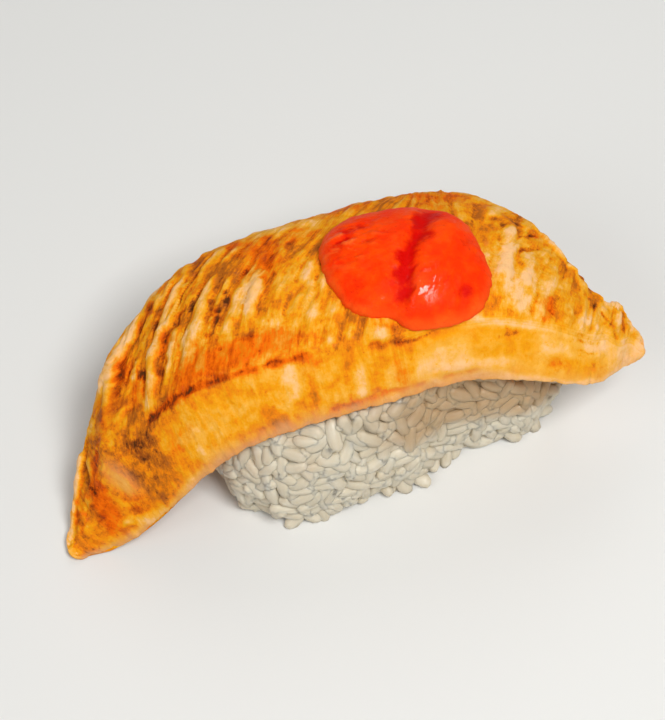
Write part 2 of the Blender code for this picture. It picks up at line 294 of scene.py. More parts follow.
# Deep orange flesh that the flame hardly reached.
BLUSH = (
    (-37.4, -0.6, 1.4, 3.5, -6, 1.0),
    (-37.3, -3.0, 1.2, 1.4, -20, 0.9),
    (-36.4, 3.0, 0.9, 1.6, 10, 0.8),
    (-33.4, -4.6, 1.6, 1.0, 40, 0.5),
    (-16.5, 2.3, 8.0, 1.9, 0, 0.8),
    (-13.0, 3.4, 4.5, 1.6, 10, 0.35),
    (-21.5, 4.4, 3.0, 1.5, -30, 0.5),
    (-10.5, 16.0, 2.6, 4.0, 10, 0.8),
    (-13.0, 20.5, 3.0, 2.4, 0, 0.4),
    (-30.0, 10.0, 1.6, 3.0, -20, 0.5),
    (-29.0, 5.0, 2.4, 1.4, 0, 0.4),
    (-33.6, 5.0, 1.2, 2.4, 20, 0.5),
    (-17.6, 15.6, 1.4, 2.0, 10, 0.5),
    (-5.4, 19.4, 2.2, 2.2, 0, 0.8),
    (0.0, 24.0, 8.0, 2.0, 0, 0.7),
    (12.5, 22.0, 4.0, 2.5, 0, 0.7),
    (1.6, -4.6, 1.8, 2.0, 0, 0.7),
    (20.5, -4.2, 3.0, 1.4, 0, 0.35),
    (20.0, 2.2, 1.0, 1.8, 20, 1.0),
    (-9.6, 18.4, 1.6, 3.0, 14, 0.6),
    (22.6, 15.0, 1.4, 1.0, 60, 0.5),
    (-8.0, -1.5, 1.0, 1.2, 0, 0.5),
    (-25.0, -3.0, 4.0, 1.2, 0, 0.5),
    (-41.0, 1.0, 1.0, 3.0, -20, 0.4),
)
# Pale patches.
CREAM = (
    (17.6, 9.0, 3.4, 7.0, 14, 0.5),
    (24.0, -1.0, 9.0, 2.4, 0, 0.2),
    (15.5, -0.6, 4.6, 0.6, 2, 0.9),
    (12.0, -5.6, 8.0, 0.9, 0, 0.7),
    (21.5, -2.6, 3.0, 0.8, 0, 0.6),
    (-8.4, 22.2, 2.2, 1.8, 0, 0.9),
    (-5.6, 4.6, 1.6, 2.6, 10, 0.8),
    (-20.0, -4.6, 4.0, 1.8, 0, 0.35),
    (17.5, 6.5, 2.4, 3.0, 15, 0.6),
    (16.5, 2.6, 1.8, 1.4, 0, 0.5),
    (19.0, 13.0, 1.2, 3.0, 25, 0.6),
    (-11.8, -2.4, 0.9, 2.6, 5, 1.0),
    (-12.8, -5.2, 2.6, 1.6, 0, 0.6),
    (-3.6, -4.6, 0.8, 2.8, 8, 0.9),
    (7.5, -4.4, 4.5, 2.0, 0, 0.5),
    (18.5, 9.5, 2.3, 5.0, 15, 0.65),
    (25.5, 0.4, 2.6, 2.0, 0, 0.7),
    (7.0, -7.4, 9.0, 0.9, 0, 0.6),
    (30.5, 5.0, 1.6, 0.8, 0, 0.9),
    (31.4, -2.0, 2.4, 1.3, 50, 1.0),
    (26.5, -1.2, 3.4, 1.1, 0, 0.8),
    (30.0, -2.0, 2.5, 1.8, 0, 0.5),
    (29.0, 4.0, 4.0, 4.5, 0, 0.15),
    (22.0, -7.4, 12.0, 0.9, 0, 0.7),
    (25.6, -5.6, 1.2, 0.5, 0, 0.5),
    (33.0, -1.6, 1.2, 1.6, 0, 0.8),
    (-13.5, 9.0, 2.2, 3.5, 15, 0.4),
    (-20.0, 8.0, 1.6, 3.0, 15, 0.4),
    (-6.6, 6.0, 1.2, 4.0, 14, 0.4),
    (-28.0, 3.0, 0.8, 1.2, 0, 0.5),
    (-33.2, 3.6, 2.6, 2.6, 10, 0.35),
    (-40.4, -3.6, 2.4, 0.7, 30, 0.8),
    (-33.6, -6.9, 4.0, 0.8, 14, 0.9),
    (-27.0, -7.6, 4.0, 0.8, 8, 0.8),
)
# Broad, browned areas.
SCORCH = (
    (-29.9, -1.2, 2.2, 2.6, -14, 1.0),
    (-30.6, -3.0, 2.0, 3.0, -14, 0.8),
    (-32.0, 0.4, 1.3, 2.7, -16, 1.0),
    (-34.2, 3.2, 1.3, 1.3, 0, 0.9),
    (-29.6, -4.4, 1.3, 2.0, -10, 0.7),
    (-26.6, -4.4, 1.8, 1.8, 0, 0.4),
    (-38.4, 2.6, 0.5, 2.6, -10, 0.6),
    (-30.0, -6.0, 2.0, 3.0, 0, 0.5),
    (-27.0, 10.0, 3.0, 5.0, 20, 0.5),
    (-35.5, -1.0, 5.0, 6.5, 0, 0.6),
    (-30.8, -3.2, 2.4, 4.2, -14, 0.45),
    (-42.8, -0.8, 1.7, 2.6, 0, 0.6),
    (-18.0, 11.0, 5.0, 4.5, 10, 0.5),
    (19.5, 15.0, 3.0, 4.0, 20, 0.4),
    (-41.2, -1.6, 2.4, 2.0, 0, 0.8),
    (-6.0, -0.6, 2.0, 0.8, 0, 0.7),
    (12.0, -4.5, 1.6, 0.8, 0, 0.5),
)
# Golden patches.
GOLD = (
    (-9.0, 9.0, 2.6, 4.5, 10, 0.9),
    (-13.5, 6.0, 4.0, 1.6, 0, 0.5),
    (-7.0, -3.8, 1.8, 3.6, 0, 0.9),
    (-15.0, 20.5, 1.2, 1.8, 0, 0.7),
    (22.4, 6.4, 2.2, 4.2, 30, 1.0),
    (23.4, 10.6, 1.6, 2.4, 20, 0.8),
    (19.6, -3.4, 1.4, 1.0, 0, 0.9),
    (6.0, -4.5, 9.0, 2.0, 0, 0.7),
    (20.0, -5.0, 5.0, 1.5, 0, 0.3),
    (-20.0, -3.8, 8.0, 3.0, 0, 0.8),
    (-18.6, 15.2, 2.4, 2.0, 20, 0.9),
    (-5.2, 19.4, 2.0, 2.0, 0, 0.6),
    (-4.0, 22.5, 2.0, 2.0, 0, 0.7),
    (-41.0, -2.0, 2.0, 1.6, 0, 0.5),
)
# Where hardly any strand shows, where fine strands show most, and the pale crease across the tail, a
# painted sheen on its fold.
QUIET_BAND = ((-16.0, 2.6, 9.5, 2.2, 0, 1.0),)
FINE_STRANDS = ((-19.0, 17.5, 7.0, 5.5, 0, 1.0),)
TAIL_CREASE = ((-33.9, -1.2, 1.0, 2.6, -28, 1.0),)

# Knots of darker sauce: (along the crease, across it, size, strength), from the dollop's middle.
KNOTS = (
    (7.2, 0.2, 1.3, 1.0),
    (4.9, -0.3, 1.0, 0.9),
    (2.4, 0.1, 1.1, 0.9),
    (-1.4, -0.3, 1.4, 1.0),
    (-3.6, -0.6, 1.0, 0.9),
    (-6.2, -0.1, 1.2, 0.8),
    (-4.6, 7.2, 1.1, 0.7),
    (-4.6, 7.2, 0.5, 0.6),
    (-0.4, -9.6, 1.3, 0.5),
    (2.6, -9.4, 1.1, 0.6),
    (-6.2, -5.8, 1.5, 0.35),
    (-3.5, -9.0, 1.6, 0.4),
    (2.5, 5.6, 0.9, 0.45),
    (4.6, 6.4, 1.0, 0.4),
    (0.6, 7.4, 1.0, 0.4),
)


# Shared maths, on numbers or on numpy arrays. Each pattern of noise has a seed of its own.


def mix(a, b, share):
    return a + (b - a) * share


def eased(share):
    """A share from 0 to 1, with a soft start and a soft end."""
    return share * share * (3 - 2 * share)


def smooth_step(low, high, value):
    return eased(np.clip((value - low) / (high - low), 0.0, 1.0))


def bell(distance, width):
    return np.exp(-((distance / width) ** 2))


def past_whole(value):
    """How far a value lies past the whole number below it."""
    return value - np.floor(value)


def blotches(u, v, size, seed):
    """Smooth noise in a plane, from 0 to 1, with blotches about that size across."""
    cells = 256
    lattice = np.random.default_rng(seed).random((cells, cells))
    # The lattice is turned and shifted, so that its rows don't line up with the piece.
    along, across = (0.8 * u + 0.6 * v) / size + 64, (0.8 * v - 0.6 * u) / size + 64
    column, row = np.floor(along).astype(int), np.floor(across).astype(int)
    right, up = along - column, across - row
    columns, rows = (column % cells, (column + 1) % cells), (row % cells, (row + 1) % cells)
    low, high = (mix(lattice[columns[0], at], lattice[columns[1], at], eased(right)) for at in rows)
    return mix(low, high, eased(up))


def rough(u, v, size, seed):
    """Noise from -1 to 1 in three sizes, each half as large and as strong as the one before."""
    total = sum(blotches(u, v, size / 2**n, seed + n) / 2**n for n in range(3))
    return 2 * total / 1.75 - 1


def zones(places, x, behind):
    """How strongly the listed places cover each point, from 0 to 1."""
    clear = 1.0
    for middle_x, middle_behind, half_width, half_length, lean, strength in places:
        lean = math.radians(lean)
        across = (x - middle_x) * math.cos(lean) - (behind - middle_behind) * math.sin(lean)
        along = (x - middle_x) * math.sin(lean) + (behind - middle_behind) * math.cos(lean)
        reach = (across / half_width) ** 2 + (along / half_length) ** 2
        clear = clear * (1 - strength * np.exp(-(reach**1.4)))
    return 1 - clear


# The slice


def past_crest(x):
    return np.where(x < BED_CREST_X, (BED_CREST_X - x) / TAIL_REACH, (x - BED_CREST_X) / SHORT_END_REACH)


def bed_line(x):
    tail = TAIL_DROP * np.abs(past_crest(x)) ** TAIL_CURVE
    short = SHORT_END_DROP * np.abs(past_crest(x)) ** SHORT_END_CURVE
    return BED_CREST_Z - np.where(x < BED_CREST_X, tail, short)


def bed_height(x, y):
    on_tail = smooth_step(0.45, 1.0, past_crest(x)) * (x < BED_CREST_X)
    front = DROOP_AT_FRONT + TAIL_LEAN * bell(x - TAIL_LEAN_X, TAIL_LEAN_WIDTH)
    back = mix(DROOP_AT_BACK, TAIL_DROOP_AT_BACK, on_tail)
    droop = np.where(y < BED_CREST_Y, front, back) * ((y - BED_CREST_Y) / DROOP_WIDTH) ** 2
    return np.maximum(0.0, bed_line(x) - droop)


def above_bed(x, y, rise):
    """Points at that rise over the bed, measured square to the bed's line."""
    slope = (bed_line(x + 0.1) - bed_line(x - 0.1)) / 0.2
    length = np.sqrt(1 + slope**2)
    x, y, rise = np.broadcast_arrays(x, y, rise)
    return np.stack([x - rise * slope / length, y, bed_height(x, y) + rise / length], axis=-1)


def slice_width(x):
    left = np.clip((WIDEST_X - x) / (WIDEST_X - TAIL_X), 0, 1)
    right = np.clip((x - WIDEST_X) / (SHORT_END_X - WIDEST_X), 0, 1)
    tail = BACK_BULGE * (1 - left**TAIL_ROUNDING) + TAIL_TIP_WIDTH * left
    short = np.hypot(BACK_BULGE * (1 - right**SHORT_END_ROUNDING) ** SHORT_END_TAPER, SHORT_END_WIDTH)
    short = short + TORN_CORNER * bell(x - TORN_CORNER_X, TORN_CORNER_WIDTH)
    return np.where(x < WIDEST_X, tail, short)


def slice_edges(x):
    swell = bell(x - WIDEST_X, FRONT_SWELL_WIDTH) + bell(x - TAIL_LEAN_X, TAIL_LEAN_WIDTH)
    front = FRONT_EDGE_Y - FRONT_SWELL * swell
    back = front + slice_width(x)
    forward = SHORT_END_SWELL * smooth_step(0.1, 0.65, past_crest(x))
    corner = SHORT_END_CORNER * smooth_step(0.7, 1.05, past_crest(x))
    return front + (corner - forward) * (x > BED_CREST_X), back


def slice_cut(x):
    """How far the upper front edge lies behind the lower one."""
    front, back = slice_edges(x)
    return np.minimum(mix(TAIL_CUT, SHORT_END_CUT, smooth_step(-14, 12, x)), 0.42 * (back - front))


def slice_thickness(x, y):
    front, back = slice_edges(x)
    along = (x - TAIL_X) / (SHORT_END_X - TAIL_X)
    thick = mix(TIP_THICKNESS, SLICE_THICKNESS, smooth_step(-0.02, 0.36, along))
    thick = mix(thick, SHORT_END_THICKNESS, smooth_step(0.74, 1.02, along))
    fold = TAIL_FOLD_HEIGHT * bell(x - TAIL_FOLD_X - TAIL_FOLD_SLANT * (y - front), TAIL_FOLD_WIDTH)
    flakes = np.sin(2 * math.pi * (x - FLAKE_SLANT * y) / FLAKE_PITCH)
    inside = smooth_step(0.0, 0.3, (y - front) / (back - front)) * smooth_step(0.1, 0.3, along)
    return thick + fold + FLAKE_RELIEF * flakes * inside


def slice_lift(x):
    return GAP + SHORT_END_LIFT * smooth_step(0.72, 1.0, past_crest(x)) * (x > BED_CREST_X)


def strand_place(x, behind):
    """Across-strand coordinate: it is the same all along one strand of the muscle."""
    tail = smooth_step(-30, -36, x)
    upper = np.maximum(behind, 0)
    lower = np.minimum(behind, 0)
    lean = mix(0.30, 0.5, smooth_step(14, 24, x))
    plain = x - lean * upper - 0.012 * upper**2 * smooth_step(14, 8, x)
    return mix(plain, x + 0.36 * upper + 0.36 * lower, tail) + 0.8 * rough(x, behind, 9, 11)


def lengthwise_share(x, behind):
    """Where the fibres lie lengthwise instead: on the cut side, towards the short end."""
    return smooth_step(-4, 5, x) * smooth_step(0.8, -1.0, behind)


def slice_grid():
    """The slice's plain form: points in columns along x and rings round it, and where each one lies.

    Returns the points, x, the distance behind the upper front edge, and the share of each part:
    underside, back side, top and cut front.
    """
    even = np.linspace(0, 1, SLICE_COLUMNS)[:, None]
    crowded = 0.5 - 0.5 * np.cos(math.pi * even)
    x = mix(TAIL_X, SHORT_END_X, mix(even, crowded, 0.35))
    front, back = slice_edges(x)
    cut = slice_cut(x)
    undercut = np.minimum(BACK_UNDERCUT, 0.3 * (back - front))
    lift = slice_lift(x)
    share = {name: np.arange(count)[None, :] / count for name, count in SLICE_RINGS.items()}
    back_thick, front_thick = slice_thickness(x, back), slice_thickness(x, front + cut)

    y_under = mix(front, back, share["under"])
    rise_under = lift + 0 * y_under
    y_back = back + undercut * share["back"] + BACK_ROUNDING * np.sin(math.pi * share["back"])
    rise_back = lift + 0.9 * back_thick * share["back"]
    y_top = mix(back + undercut, front + cut, share["top"])
    shoulder = 0.1 * bell(share["top"], 0.05) + 0.03 * bell(1 - share["top"], 0.05)
    rise_top = lift + slice_thickness(x, y_top) * (1 - shoulder)
    hollow = CUT_HOLLOW * np.sin(math.pi * share["cut"])
    y_cut = front + cut * (1 - share["cut"]) - hollow
    rise_cut = lift + 0.97 * front_thick * (1 - share["cut"])

    points = above_bed(
        x,
        np.concatenate([y_under, y_back, y_top, y_cut], axis=1),
        np.concatenate([rise_under, rise_back, rise_top, rise_cut], axis=1),
    )
    cut_length = np.hypot(cut, front_thick)
    top_length = back + undercut - front - cut
    behind = np.concatenate(
        [
            -cut_length - 2 - 0 * y_under,
            top_length + back_thick * (1 - share["back"]),
            y_top - front - cut,
            -cut_length * share["cut"],
        ],
        axis=1,
    )
    owner = np.repeat(np.arange(len(SLICE_RINGS)), list(SLICE_RINGS.values()))
    part = {
        name: np.broadcast_to(1.0 * (owner == number), behind.shape)
        for number, name in enumerate(SLICE_RINGS)
    }
    return points, np.broadcast_to(x, behind.shape), behind, top_length, cut_length, part


def grid_normals(points):
    """Outward normals of a grid whose rows close on themselves."""
    along = np.gradient(points, axis=0)
    around = np.roll(points, -1, axis=1) - np.roll(points, 1, axis=1)
    normal = np.cross(around, along)
    return normal / np.maximum(np.linalg.norm(normal, axis=-1, keepdims=True), 1e-9)


def blurred(grid, times):
    for _ in range(times):
        grid = 0.5 * grid + 0.25 * (np.roll(grid, 1, axis=1) + np.roll(grid, -1, axis=1))
    return grid


def charred_line(x):
    """Where the charred line runs, as a distance behind the upper front edge."""
    line = mix(1.3, -0.5, smooth_step(-27, -14, x))
    return line - 0.8 * smooth_step(-9, 0, x) + 0.6 * smooth_step(14, 22, x)


def charred_share(x):
    """How strong the charred line is along the slice."""
    left = smooth_step(-30, -27, x) * (1 - smooth_step(-10.0, -8.0, x))
    return left + 0.5 * bell(x - 1, 4.5) + 0.4 * bell(x - 15, 1.2) + 0.35 * bell(x - 25, 1.8)


def slice_marks(settings, x, behind, top_length, cut_length, part):
    """The marks on the slice, each from 0 to 1, that its relief and its colours share."""
    # Strands, and the grooves beside and between them, darkened partly by toasting and partly by painted
    # shade.
    phase = strand_place(x, behind) / (settings.strand_spacing / MM)
    number = np.floor(phase + 0.3 * rough(x, behind, 3.0, 22))
    crest, trough = bell(past_whole(phase) - 0.5, 0.2), bell(past_whole(phase), 0.2)
    on_top = smooth_step(0.0, 0.9, behind) * smooth_step(0.0, 1.2, top_length - behind) * part["top"]
    broken = smooth_step(0.35, 0.7, blotches(number * 7.3, behind + 3 * number, 2.2, 21))
    shown = broken * (1 - 0.8 * zones(QUIET_BAND, x, behind)) * on_top
    shaken_x = x + 0.35 * rough(x, behind, 1.6, 12)
    shaken_behind = behind + 0.5 * rough(x, behind, 1.6, 16)
    placed = zones(STRANDS, shaken_x, shaken_behind) ** 1.4
    drawn = 0.55 + 0.4 * zones(FINE_STRANDS, x, behind)
    strand = np.maximum(placed, drawn * crest * shown)
    # The groove beside each strand is a painted shadow on one side of it.
    beside = zones(STRANDS, shaken_x - 1.15, shaken_behind) * (1 - placed)

    # The duller lip along the lower edge, and a painted sheen in the lip's colour in the tail's crease.
    off_tail, towards_short_end = smooth_step(-32, -20, x), smooth_step(8, 20, x)
    from_lip = behind + cut_length - mix(0.2, 0.5, off_tail) + 0.6 * rough(x, behind, 1.8, 29)
    lip = bell(from_lip, mix(0.7, 1.4, off_tail)) * part["cut"] * (1 - 0.75 * towards_short_end)
    crease = zones(TAIL_CREASE, shaken_x, shaken_behind)

    # The charred line along the upper front edge, the darker line over the lip, partly toasted and
    # partly painted shade, and the pale rims.
    from_line = behind - charred_line(x) + 0.3 * rough(x, behind, 1.3, 24)
    gaps = smooth_step(0.1, 0.45, blotches(x, 0.6 * behind, 1.4, 25))
    line = bell(from_line, 0.55) * gaps * charred_share(x)
    above_lip = behind + cut_length - mix(2.0, 1.8, smooth_step(-13, 5, x))
    # A darker line in the groove above the lip: partly toasting, partly painted shade.
    toast_and_shade_above_lip = bell(above_lip + 0.4 * rough(x, behind, 2.2, 26), 0.5) * smooth_step(-28, -20, x)
    gaps = smooth_step(0.3, 0.7, blotches(x, 0 * behind, 2.6, 27))
    toast_and_shade_above_lip = toast_and_shade_above_lip * part["cut"] * gaps * (1 - towards_short_end)
    back_rim = bell(top_length - behind, mix(3.0, 1.0, off_tail)) * (part["top"] + part["back"])
    low_rim = 0.8 * bell(behind + cut_length - 0.4, 0.6) * part["cut"] * towards_short_end
    tips = smooth_step(TAIL_X + 2.4, TAIL_X + 0.8, x) + smooth_step(SHORT_END_X - 2.0, SHORT_END_X, x)
    return {
        "strand": strand,
        "groove_toast_and_shade": np.clip(np.maximum(beside, (drawn + 0.1) * trough * shown), 0, 1),
        "burnt": zones(BURNS, shaken_x, shaken_behind),
        "line": line,
        "toast_and_shade_above_lip": toast_and_shade_above_lip,
        "rim": np.clip(back_rim + low_rim + tips, 0, 1),
        "lip": np.maximum(lip, 0.5 * crease),
        "lengthwise": lengthwise_share(x, behind),
        "blush": zones(BLUSH, shaken_x, shaken_behind),
        "cream": zones(CREAM, shaken_x, shaken_behind),
        "gold": zones(GOLD, shaken_x, shaken_behind),
        "scorch": zones(SCORCH, x, behind),
        "cut": part["cut"],
        # Darker, redder and more speckled towards the tail: partly toasting, partly painted shade on the
        # top's left part, which faces away from the light.
        "left": smooth_step(-4, -20, x) * part["top"],
    }


def slice_relief(settings, x, behind, marks, part):
    """How far the slice's surface stands out of its plain form, in millimetres."""
    height = settings.strand_height / MM
    flesh = part["top"] + part["cut"] + part["back"]
    place = strand_place(x, behind)
    fibres = blotches(place * 2.4, behind * 0.5, 1.0, 31) - 0.5
    fibres = mix(fibres, blotches(behind * 2.0, x * 0.3, 1.0, 28) - 0.5, marks["lengthwise"])
    fine = blotches(place * 5.5, behind * 1.1, 1.0, 32) - 0.5
    seared = blotches(x, behind, 0.75, 37) - 0.5
    pits = 0.8 * marks["groove_toast_and_shade"] + 0.6 * marks["burnt"] + 0.6 * marks["line"] + 0.5 * marks["toast_and_shade_above_lip"]
    relief = height * (marks["strand"] * (0.7 + 0.6 * blotches(x, behind, 1.4, 38)) - pits)
    relief = relief + (0.20 * fibres + 0.10 * fine) * flesh
    relief = relief + 0.22 * seared * part["top"] * (0.5 + marks["scorch"])
    relief = relief + 0.25 * rough(x, behind, 6.0, 33) * flesh

    # The short end's ragged shelves, and the flakes' partings on the cut side.
    ragged = smooth_step(20, 31, x)
    shelf = place / 2.1 + 0.9 * blotches(x, behind, 2.4, 35)
    depth = ragged * part["top"] * blotches(x, behind, 3.0, 39)
    relief = relief + 0.7 * depth * (past_whole(shelf) - 0.5)
    flake = place / 5.0 + 0.5 * blotches(x, behind, 4, 40)
    parting = bell(past_whole(flake) - 0.5, 0.06) * part["cut"]
    relief = relief - 0.16 * parting * smooth_step(0.3, 0.7, blotches(x, behind, 2.5, 36))
    return relief - 0.05


def slice_surface(settings):
    """The slice's points with their relief and torn edges, where each lies, and its marks."""
    points, x, behind, top_length, cut_length, part = slice_grid()
    offset = cad_offset("salmon_slice", points)
    marks = slice_marks(settings, x, behind, top_length, cut_length, part)
    points = blurred(points, 8)
    relief = slice_relief(settings, x, behind, marks, part)
    points = points + grid_normals(points) * blurred(relief, 1)[..., None]

    # Torn outlines: the back edge, the lower front edge and both tips are bitten into a little.
    near_back = bell(top_length - behind, 1.5) * (part["top"] + part["back"])
    bites = blotches(x, 0 * x, 1.4, 41) * blotches(x, 0 * x, 4.5, 42)
    points[..., 1] -= 0.7 * near_back * bites
    near_lip = bell(behind + cut_length, 1.2) * part["cut"]
    points[..., 1] += 0.5 * near_lip * (blotches(x, 0 * x, 1.3, 43) - 0.5)
    tear = smooth_step(SHORT_END_X - 4.5, SHORT_END_X, x)
    points[..., 0] -= 0.7 * tear * blotches(points[..., 1], points[..., 2], 1.1, 44)
    tear = smooth_step(TAIL_X + 2.5, TAIL_X, x)
    points[..., 0] += 0.4 * tear * blotches(points[..., 1], points[..., 2], 0.8, 45)

    for column, share in enumerate(END_CLOSING):
        for at in (column, len(points) - 1 - column):
            middle = points[at].mean(axis=0)
            points[at] = middle + (points[at] - middle) * share
    return clipped(points + offset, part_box("salmon_slice")), x, behind, marks


def salmon_material(settings):
    """Flesh whose tone runs from its pale strands, over gold and orange, to toasted and charred."""
    recipe = Recipe("seared_salmon")
    place = recipe.place()
    strand, groove_toast_and_shade, burnt = (recipe.mark(name) for name in ("strand", "groove_toast_and_shade", "burnt"))
    # The left mark darkens and reddens the tail's end of the top, partly as painted shade.
    line, toast_and_shade_above_lip, left = (recipe.mark(name) for name in ("line", "toast_and_shade_above_lip", "left"))
    rim, lip, blush, cream = (recipe.mark(name) for name in ("rim", "lip", "blush", "cream"))
    gold, scorch, cut = (recipe.mark(name) for name in ("gold", "scorch", "cut"))
    broad = recipe.noise(place, 170.0, 4.0) - 0.5
    blotch = recipe.noise(place, 520.0, 5.0, 0.65) - 0.5
    turned = recipe.mark("lengthwise")
    across = recipe.noise(recipe.place_map("flesh", (9.0, 2.2)), 1.0, 5.0, 0.62) - 0.5
    along = recipe.noise(recipe.place_map("lengthwise", (10.0, 1.6)), 1.0, 5.0) - 0.5
    fibre = across * (1 - turned) + along * turned
    thread = recipe.noise(recipe.place_map("flesh", (30.0, 6.0)), 1.0, 3.0, 0.6) - 0.5
    thread = thread * (1 - turned * 0.7)
    speck = recipe.noise(recipe.place_map("flesh", (21.0, 13.0)), 1.0, 4.0, 0.7)
    pepper = recipe.noise(place, 1300.0, 3.0, 0.65)
    grain = recipe.noise(place, 2600.0, 3.0, 0.6)

    # Where the flame toasted the flesh, in flecks, and finer specks.
    heat = scorch * 0.12 + burnt * 0.30 + line * 0.17 + groove_toast_and_shade * 0.20 + toast_and_shade_above_lip * 0.1 - strand * 0.12
    toasted = recipe.step(0.58, 0.86, speck + heat)
    peppered = recipe.step(0.60, 0.72, pepper + scorch * 0.07 + left * 0.04 - strand * 0.04)
    # The tone, from 0 for the palest strands to 1 for charred flesh.
    # The grooves darken the tone with painted shade as well as with toasting.
    tone = 0.46 - cut * 0.01 - gold * 0.10 + scorch * 0.13 + groove_toast_and_shade * 0.32 + blush * 0.04 + left * 0.04
    tone = tone - cream * 0.36 - rim * 0.36 + broad * (1.1 - turned * 0.4 - cut * 0.25) - turned * 0.11
    # The line over the lip darkens the tone, partly as painted shade.
    tone = recipe.clamp(tone + toast_and_shade_above_lip * 0.16 + line * 0.26 + burnt * 0.12, 0.0, 0.62)
    tone = tone + blotch * (0.95 - turned * 0.3) + fibre * (0.95 - cut * 0.4 + turned * 0.5)
    tone = recipe.clamp(tone + thread * (0.5 - cut * 0.3), 0.0, 0.76) - strand * (0.46 + thread * 0.3)
    tone = tone + toasted * (0.20 + burnt * 0.12) + peppered * 0.13 + line * 0.08
    plain = recipe.ramp(
        tone,
        (
            (0.0, settings.cream),
            (0.20, settings.straw),
            (0.38, settings.golden),
            (0.54, settings.flesh),
            (0.68, settings.browned),
            (0.84, settings.toasted),
            (0.97, settings.charred),
        ),
    )
    reddened = recipe.ramp(
        tone,
        (
            (0.0, settings.straw),
            (0.32, settings.flesh),
            (0.48, settings.blush),
            (0.68, settings.ember),
            (0.82, settings.rust),
            (0.97, settings.charred),
        ),
    )
    # Where the flesh turns from golden to deep orange.
    redness = blush * 0.9 + groove_toast_and_shade * 0.3 + left * 0.10 + blotch * 1.3 - broad * 1.2 + thread * 0.5
    redness = redness + line * 0.9 + toast_and_shade_above_lip * 0.6 + burnt * 0.3 - gold * 0.3 - scorch * 0.1 - cream * 0.2
    colour = recipe.blend(recipe.step(0.05, 0.75, redness), plain, reddened)
    colour = recipe.blend(lip * (0.9 + blotch * 1.5), colour, settings.lip)

    height = fibre * 0.5 + thread * 0.35 + grain * 0.15 + speck * 0.4 + pepper * 0.3 - toasted * 0.3
    return recipe.finish(
        Base_Color=colour,
        Roughness=0.52 + blotch * 0.3 + toasted * 0.15,
        Specular_IOR_Level=0.03,
        Coat_Weight=recipe.step(0.02, 0.2, blotch - toasted * 0.2) * 0.16,
        Coat_Roughness=0.12,
        Subsurface_Weight=0.12,
        Subsurface_Radius=(1.0, 0.36, 0.14),
        Subsurface_Scale=1.2 * MM,
        Normal=recipe.bump(height, 0.3 * MM, 0.9),
    )


# Meshes


def cad_offset(node, points):
    """What moves these points so that their lowest corner meets that of the solid."""
    low = np.array(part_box(node)[0]) / MM
    return low - points.reshape(-1, 3).min(axis=0)


def clipped(points, box):
    """The points, held inside a box that is given in metres."""
    low, high = (np.array(corner) / MM for corner in box)
    return np.clip(points, low, high)


def closed_grid_mesh(name, points):
    """A closed mesh from a grid whose rows are rings, with a fan at each end."""
    columns, around = points.shape[:2]
    index = np.arange(columns * around).reshape(columns, around)
    beside = np.roll(index, -1, axis=1)
    quads = np.stack([index[:-1], index[1:], beside[1:], beside[:-1]], axis=-1).reshape(-1, 4)
    ends = [points[0].mean(axis=0), points[-1].mean(axis=0)]
    vertices = np.concatenate([points.reshape(-1, 3), ends]) * MM
    first, last = columns * around, columns * around + 1
    fans = [(first, a, b) for a, b in zip(index[0], beside[0])]
    fans += [(last, b, a) for a, b in zip(index[-1], beside[-1])]
    mesh = bpy.data.meshes.new(name)
    mesh.from_pydata(vertices.tolist(), [], quads.tolist() + fans)
    mesh.shade_smooth()
    return mesh


def with_ends(values):
    """The values of a closed grid's points, then of its two end points, which take their ring's mean."""
    return np.concatenate([values.ravel(), [values[0].mean(), values[-1].mean()]])


def add_mark(mesh, name, values):
    """Stores a value for each point of a mesh, for its material to read."""
    attribute = mesh.attributes.new(name, "FLOAT", "POINT")
    attribute.data.foreach_set("value", values.astype(np.float32))


def add_place_map(mesh, name, u, v):
    """Stores two coordinates for each point of a closed grid as a map that patterns follow."""
    layer = mesh.uv_layers.new(name=name)
    corner = np.empty(len(mesh.loops), np.int32)
    mesh.loops.foreach_get("vertex_index", corner)
    place = np.stack([with_ends(u)[corner], with_ends(v)[corner]], axis=-1)
    layer.data.foreach_set("uv", place.ravel().astype(np.float32))


def hold_above_floor(vertices):
    """Flattens what would stick out under the rice."""
    for vertex in vertices:
        vertex.co.z = max(vertex.co.z, 0.0)


def mark_slice_shade_and_stain(mesh):
    """Stores how close under the slice each point of the rice lies, from 0 to 1: painted shade from the
    slice, partly a stain.
    """
    points = np.empty(3 * len(mesh.vertices), np.float32)
    mesh.vertices.foreach_get("co", points)
    x, y, z = (points.reshape(-1, 3) / MM - cad_offset("salmon_slice", slice_grid()[0])).T
    towards_short_end = smooth_step(-8, 10, x)
    reach = mix(9.0, 15.0, towards_short_end)
    slice_shade_and_stain = smooth_step(reach, 0.5 * reach, bed_height(x, y) - z)
    add_mark(mesh, "slice_shade_and_stain", slice_shade_and_stain * mix(0.35, 1.0, towards_short_end))


def add_piece(name, mesh, material, node):
    """Puts a finished mesh in the scene, in place of its solid."""
    mesh.materials.clear()
    mesh.materials.append(material)
    piece = bpy.data.objects.new(name, mesh)
    bpy.context.scene.collection.objects.link(piece)
    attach(piece, "root")
    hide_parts(node)
    return piece


# Nodes


class Value:
    """A node's output that can be used in Python expressions."""

    def __init__(self, nodes, socket):
        self.nodes = nodes
        self.socket = socket

    def other(self, output):
        """Another output of the same node."""
        return Value(self.nodes, self.socket.node.outputs[output])

    def maths(self, operation, *values):
        return self.nodes.node("ShaderNodeMath", dict(enumerate(values)), operation=operation)

    def __add__(self, other):
        return self.maths("ADD", self, other)

    def __sub__(self, other):
        return self.maths("SUBTRACT", self, other)

    def __rsub__(self, other):
        return self.maths("SUBTRACT", other, self)

    def __mul__(self, other):
        return self.maths("MULTIPLY", self, other)

    __radd__ = __add__
    __rmul__ = __mul__


